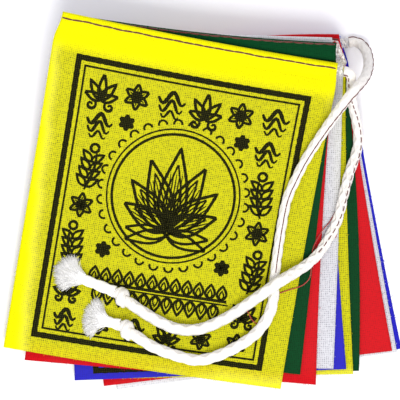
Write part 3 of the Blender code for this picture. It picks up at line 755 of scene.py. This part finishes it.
# The print: a double frame, a blossom in a halo, and small motifs round it. Millimetres from the
# top left of the flag. A stroke is (points, width, whether its ends are thin)
printed = {
    "left": 11.3, "top": 17.0, "right": 116.5, "bottom": 145.0,
    "thickLine": 2.6, "thinLine": 0.9, "gap": 2.0,
    "flagWide": 126.2,  # width of the flag in the print's own millimetres
    "bold": 1.22,  # how much the ink spreads beyond the carved lines
    "clear": 0.09 * mm,  # of the cloth
    # Each flag was stamped by hand, so its print sits a little off, in millimetres
    "off": {"flag_05_blue": (-2.6, 4.2), "flag_03_red": (1.5, 0.8), "flag_07_green": (0.6, -1.4)},
}


def arcPoints(x, y, radius, start, end, squash=1, count=24):
    turns = np.radians(np.linspace(start, end, count))
    return [(x + radius * math.cos(t), y + radius * squash * math.sin(t)) for t in turns]


def curl(x, y, size, hand, turn):
    # A spiral that runs out into a tail
    turns = [math.radians(turn) + hand * math.tau * 1.2 * t for t in np.linspace(0, 1, 26)]
    reach = [size * (0.14 + 0.5 * t ** 1.3) for t in np.linspace(0, 1, 26)]
    return [(x + r * math.cos(a), y + r * math.sin(a)) for a, r in zip(turns, reach)]


def petal(x, y, long, wide, turn):
    # Outline of a pointed petal that starts at x, y
    axis = np.array([math.cos(math.radians(turn)), math.sin(math.radians(turn))])
    side = np.array([-axis[1], axis[0]])
    shares = np.linspace(0, 1, 14)
    edge = [wide / 2 * math.sin(math.pi * t ** 0.8) * (1 - 0.3 * t) for t in shares]
    right = [np.array([x, y]) + axis * long * t + side * e for t, e in zip(shares, edge)]
    left = [np.array([x, y]) + axis * long * t - side * e for t, e in zip(shares, edge)]
    return right + left[::-1]


def stamp(strokes, x, y, scale=1):
    return [([(x + scale * px, y + scale * py) for px, py in line], printed["bold"] * wide, thin)
            for line, wide, thin in strokes]


def frameStrokes():
    found = []
    for inset, wide in ((printed["thickLine"] / 2, printed["thickLine"]),
                        (printed["thickLine"] + printed["gap"], printed["thinLine"])):
        x1, x2 = printed["left"] + inset, printed["right"] - inset
        y1, y2 = printed["top"] + inset, printed["bottom"] - inset
        half = wide / 2
        sides = ([(x1 - half, y1), (x2 + half, y1)], [(x2, y1), (x2, y2)],
                 [(x2 + half, y2), (x1 - half, y2)], [(x1, y2), (x1, y1)])
        found += [(side, wide, False) for side in sides]
    return found


def palmette():
    # Five pointed leaves that fan out of two curls
    found = [(petal(0, 3.4, long, 3.2, turn), 1.1, False)
             for long, turn in ((9.4, -90), (8.2, -126), (8.2, -54), (6.4, -162), (6.4, -18))]
    return found + [(curl(-3.4, 5.6, 3.4, -1, 0), 1.2, True), (curl(3.4, 5.6, 3.4, 1, 180), 1.2, True)]


def flower():
    found = [(petal(0, 0, 4.9, 2.9, 60 * k + 30), 1.0, False) for k in range(6)]
    for k in range(6):
        turn = math.radians(60 * k + 30)
        found.append(([(0, 0), (3.2 * math.cos(turn), 3.2 * math.sin(turn))], 0.6, True))
    return found + [(arcPoints(0, 0, 0.7, 0, 360, 1, 12), 1.3, False)]


def ripples():
    shares = np.linspace(0, 1, 24)
    return [([(-5 + t * 10, 2.2 * math.sin(t * 9) - 2) for t in shares], 1.6, True),
            ([(-4.4 + t * 8.6, 2.2 * math.sin(t * 9) + 1) for t in shares], 1.3, True),
            ([(-3.4 + t * 6.6, 1.4 * math.sin(t * 9) + 4) for t in shares], 1.0, True)]


def sprig(turn, hand):
    # A stem with four pairs of leaves and a bud
    axis = np.array([math.cos(math.radians(turn)), math.sin(math.radians(turn))])
    side = np.array([-axis[1], axis[0]])
    shares = np.linspace(0, 1, 10)
    found = [([axis * 14 * t + side * 1.6 * hand * math.sin(2.4 * t) for t in shares], 1.2, True)]
    for step in (1.5, 4.5, 7.5, 10.5):
        for way in (-1, 1):
            found.append((petal(*(axis * step), 5.2, 2.6, turn + way * 50), 0.95, False))
    return found + [(arcPoints(*(axis * 15.4), 1.5, 0, 360, 1, 14), 1.1, False)]


def blossom():
    # An open lotus with veined petals, in a round halo with a beaded rim
    found = [(arcPoints(0, 0, 27.5, 0, 360, 1.02, 90), 1.0, False),
             (arcPoints(0, 0, 29.8, 0, 360, 1.02, 90), 0.6, False)]
    for turn in range(0, 360, 12):
        edge = (32.2 * math.cos(math.radians(turn)), 32.8 * math.sin(math.radians(turn)))
        found.append((arcPoints(*edge, 1.9, turn - 100, turn + 100, 1, 10), 0.8, False))
    foot = 16
    for long, wide, turns in ((38, 14, (-90,)), (33, 13, (-112, -68)), (28, 12, (-134, -46)),
                              (23, 11, (-156, -24))):
        for turn in turns:
            found.append((petal(0, foot, long, wide, turn), 1.15, False))
            found.append((petal(0, foot - 1, long * 0.78, wide * 0.6, turn), 0.7, False))
            axis = (math.cos(math.radians(turn)), math.sin(math.radians(turn)))
            for share in (-0.22, -0.11, 0, 0.11, 0.22):
                start = (axis[0] * 7 - axis[1] * share * 12, foot + axis[1] * 7 + axis[0] * share * 12)
                end = (start[0] + axis[0] * long * 0.5, start[1] + axis[1] * long * 0.5)
                found.append(([start, end], 0.55, True))
    for turn in (-178, -2, 166, 14):
        found.append((petal(0, foot + 2, 19, 7, turn), 1.0, False))
    return found


def pedestal():
    # Two rows of petals, the upper one turned up and the lower one down, and a line between
    found = [([(-36, 0), (36, 0)], 1.1, False), ([(-37, 1.8), (37, 1.8)], 0.6, False)]
    for x in np.arange(-33, 33.1, 6):
        found += [(petal(x, -0.6, 7.4, 5.6, -90), 0.95, False),
                  (petal(x, -0.8, 4.6, 2.6, -90), 0.6, False)]
    for x in np.arange(-30, 30.1, 6):
        found += [(petal(x, 2.4, 8.4, 5.8, 90), 0.95, False), (petal(x, 2.8, 5.2, 2.8, 90), 0.6, False)]
    return found


def printStrokes():
    # The whole block: a row along the head, a column down each side, a row along the foot, and
    # the blossom on its pedestal in the middle
    found = frameStrokes()
    kinds = [palmette(), flower(), ripples()]
    for k, x in enumerate(np.linspace(25, 103, 6)):
        found += stamp(kinds[k % 3], x, 31, 1.22)
    for hand, x in ((1, 24), (-1, 104)):
        found += stamp(kinds[2], x + 2 * hand, 46, 1.15)
        found += stamp(sprig(-90 + 6 * hand, hand), x, 76, 1.25)
        found += stamp(kinds[1], x, 83, 1.15)
        found += stamp(sprig(-90 - 6 * hand, -hand), x, 111, 1.2)
        found += stamp(kinds[0], x, 120, 1)
    for k, x in enumerate(np.linspace(41, 87, 4)):
        found += stamp(kinds[(k + 1) % 3], x, 134.5, 1)
    for hand, x in ((1, 25), (-1, 103)):
        found += stamp(kinds[2 if hand == 1 else 1], x, 134.5, 1)
        found += stamp(kinds[1], 64 - 26 * hand, 43, 0.75) + stamp(kinds[1], 64 - 27 * hand, 101, 0.75)
    return found + stamp(blossom(), 64, 72) + stamp(pedestal(), 64, 116, 0.88)


def ribbon(line, wide, thin):
    # A brush stroke as two edges, with points close enough to follow the cloth
    line = np.asarray(line, float)
    run = runAlong(line)
    at = np.linspace(0, run[-1], max(3, round(run[-1] / 0.9) + 1))
    line = np.array([np.interp(at, run, line[:, i]) for i in range(2)]).T
    along = np.gradient(line, axis=0)
    along /= np.linalg.norm(along, axis=1)[:, None] + 1e-9
    out = np.stack([-along[:, 1], along[:, 0]], axis=1)
    swell = np.sin(np.pi * np.linspace(0.1, 0.95, len(at))) ** 0.5 if thin else np.ones(len(at))
    rough = 1 + 0.1 * np.sin(at * 3.1) * np.sin(at * 1.7 + 1)
    reach = (wide / 2 * swell * rough)[:, None]
    return line + out * reach, line - out * reach


def addPrint(laid, strokes, material):
    # The printed side of a flag that lies face down is its lower side
    points, faces, uvs = [], [], []
    offX, offY = printed["off"].get(laid.name, (0, 0))
    for left, right in strokes:
        base = len(points)
        for pair in zip(left, right):
            for x, y in pair:
                x, y = x + offX, y + offY
                across = min(max(x / printed["flagWide"], 0.002), 0.998)
                across = across if laid.up else 1 - across
                # Where the cloth is steep, the ink has to stand off further to stay clear of it
                higher, lower = (laid.place(across, (y + half) * mm)[2] for half in (0.5, -0.5))
                lift = (cloth["thick"] / 2 + printed["clear"]) * math.hypot(1, (higher - lower) / mm)
                points.append(laid.place(across, y * mm, lift if laid.up else -lift))
                uvs.append((across * cloth["width"], y * mm))
        for k in range(len(left) - 1):
            a = base + 2 * k
            faces.append((a, a + 1, a + 3, a + 2) if laid.up else (a, a + 2, a + 3, a + 1))
    return addPiece("print_" + laid.name, points, faces, uvs, material, laid.dye + "_cotton")


seam = {
    "fromFold": 3.0 * mm,
    "stitchedHigher": {"flag_02_green": 1.3 * mm},  # this flag's seam runs nearer to the fold
    "sway": 0.4 * mm,
    "stitch": 4.5 * mm,
    "gap": 0.2 * mm,
    "thick": 0.7 * mm,  # thicker than real thread, so that it shows as in the photograph
}


def addHeaderStitches(laid, material):
    # One straight machine seam holds the cord in the header
    line = []
    nose, radius = header["high"] / 2, (header["high"] - header["sheet"]) / 2
    for across in np.linspace(0.004, 0.996, 160):
        sway = seam["sway"] * noise.noise(Vector((across * 16, laid.index, 0)))
        down = seam["stitchedHigher"].get(laid.name, seam["fromFold"]) + sway
        # Near the fold the cloth rounds down
        sunk = radius - math.sqrt(max(radius ** 2 - max(nose - down, 0) ** 2, 0))
        line.append(laid.place(across, down, cloth["thick"] / 2 - sunk))
    line = np.array(line)
    lifts = np.tile((0, 0, 1.0), (len(line), 1))
    parts = stitchRow(line, lifts, seam["stitch"], seam["gap"], seam["thick"])
    return addPiece("seam_" + laid.name, *gather(parts), material, laid.dye + "_cotton")


fray = {
    "count": {"left": 80, "right": 80, "foot": 150},
    "along": (0.13, 0.99),  # shares of the edge between which the threads stand
    "spread": 0.4,  # of the lengths, in millimetres
    "shortest": 0.2 * mm,
    "rooted": 0.4 * mm,  # inside the edge
    "reach": 0.07 * mm,  # radius of a thread
}


def addFray(laid, material):
    # Cut edges without a hem lose short threads
    dice = np.random.default_rng(100 + laid.index)
    parts = []
    for edge, count in fray["count"].items():
        for _ in range(count):
            along = dice.uniform(*fray["along"])
            if edge == "foot":
                base = laid.place(along, cloth["drop"])
                inner = laid.place(along, cloth["drop"] - 9 * mm)
            else:
                base = laid.place(0 if edge == "left" else 1, cloth["drop"] * along)
                inner = laid.place(0.5, cloth["drop"] * along)
            out = unit((base - inner) * (1, 1, 0))
            side = np.array([-out[1], out[0], 0])
            long = abs(dice.normal(0, fray["spread"])) * mm + fray["shortest"]
            lean = dice.normal(0, 0.5)
            root = base - out * fray["rooted"]
            strand = [root + (out + side * lean * t) * long * t for t in np.linspace(0, 1, 4)]
            parts.append(tube(strand, [fray["reach"]] * len(strand), 3))
    return addPiece("fray_" + laid.name, *gather(parts), material, laid.dye + "_cotton")


# The cord inside the headers shows only where it turns back at the sides. The seam draws the
# turns at the right in, close to the flags' edges; the two free ends stay. In millimetres
turnsIn = {
    "edge": 62.5,
    "lowEnd": (5.5, 7.5),  # heights over which the low free end gives way to the turns
    "highEnd": (29, 30.5),  # and the turns to the high free end,
    "highEndBelow": 61.5,  # which lies nearer to the flags' feet than this
    "kept": ((62, 66), (0.8, 0.35)),  # share that stays out, at these places towards the heads
}


def drawnIn(place):
    x, y, z = place
    aboveLow = np.interp(z / mm, turnsIn["lowEnd"], (0, 1))
    nearHigh = np.interp(z / mm, turnsIn["highEnd"], (0, 1)) * (y / mm < turnsIn["highEndBelow"])
    share = aboveLow * (1 - nearHigh) * (1 - np.interp(y / mm, *turnsIn["kept"]))
    return x - max(x - turnsIn["edge"] * mm, 0) * share, y, z


def addHeaderCord(source, material):
    made = addPiece("header_cord_soft", [drawnIn(v.co) for v in source.vertices],
                    [tuple(p.vertices) for p in source.polygons],
                    [(v.co.x, v.co.y) for v in source.vertices], material, "cotton_cord")
    rounder = made.modifiers.new("rounder", "SUBSURF")
    rounder.levels = rounder.render_levels = 1
    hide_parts("header_cord")
    print("header cord dressed")


setCamera()
setLight()
print("camera and light set")

materials = {
    "cord": spunFibre("braided cotton cord", "#F5F2EC", "#D6D1C7", 0.9),
    "fray": spunFibre("loose cotton fibres", "#FFFFFD", "#F8F6F0", 0.95),
    "thread": spunFibre("polyester sewing thread", "#741F14", "#42120C", 0.7),
    # The loose threads are the same sewing thread, painted lighter as if lit
    "looseThread": spunFibre("polyester sewing thread, painted_lighter_as_if_lit", "#B32A1B", "#8E2015", 0.5),
    "ink": blockInk(),
}
trees = []
for flag in flags:
    mesh = solids[flag[0]].data
    trees.append(BVHTree.FromPolygons([v.co.copy() for v in mesh.vertices],
                                      [tuple(p.vertices) for p in mesh.polygons]))

for name in ("cord_a", "cord_b"):
    buildCord(name, materials, trees)
addLooseThreads(materials["looseThread"], trees)

cloths = {dye: printedMuslin("printed cotton muslin, " + dye, dye) for dye in muslin["dyes"]}
strokes = [ribbon(*stroke) for stroke in printStrokes()]
for index in range(len(flags)):
    laid = ClothFlag(index, trees[index])
    piece = laid.build(cloths[laid.dye], trees[index + 1:], [f[1] for f in flags[index + 1:]])
    extras = [addPrint(laid, strokes, materials["ink"]), addHeaderStitches(laid, materials["thread"]),
              addFray(laid, cloths[laid.dye])]
    print("laid", laid.name)

addHeaderCord(solids["header_cord"].data, materials["cord"])
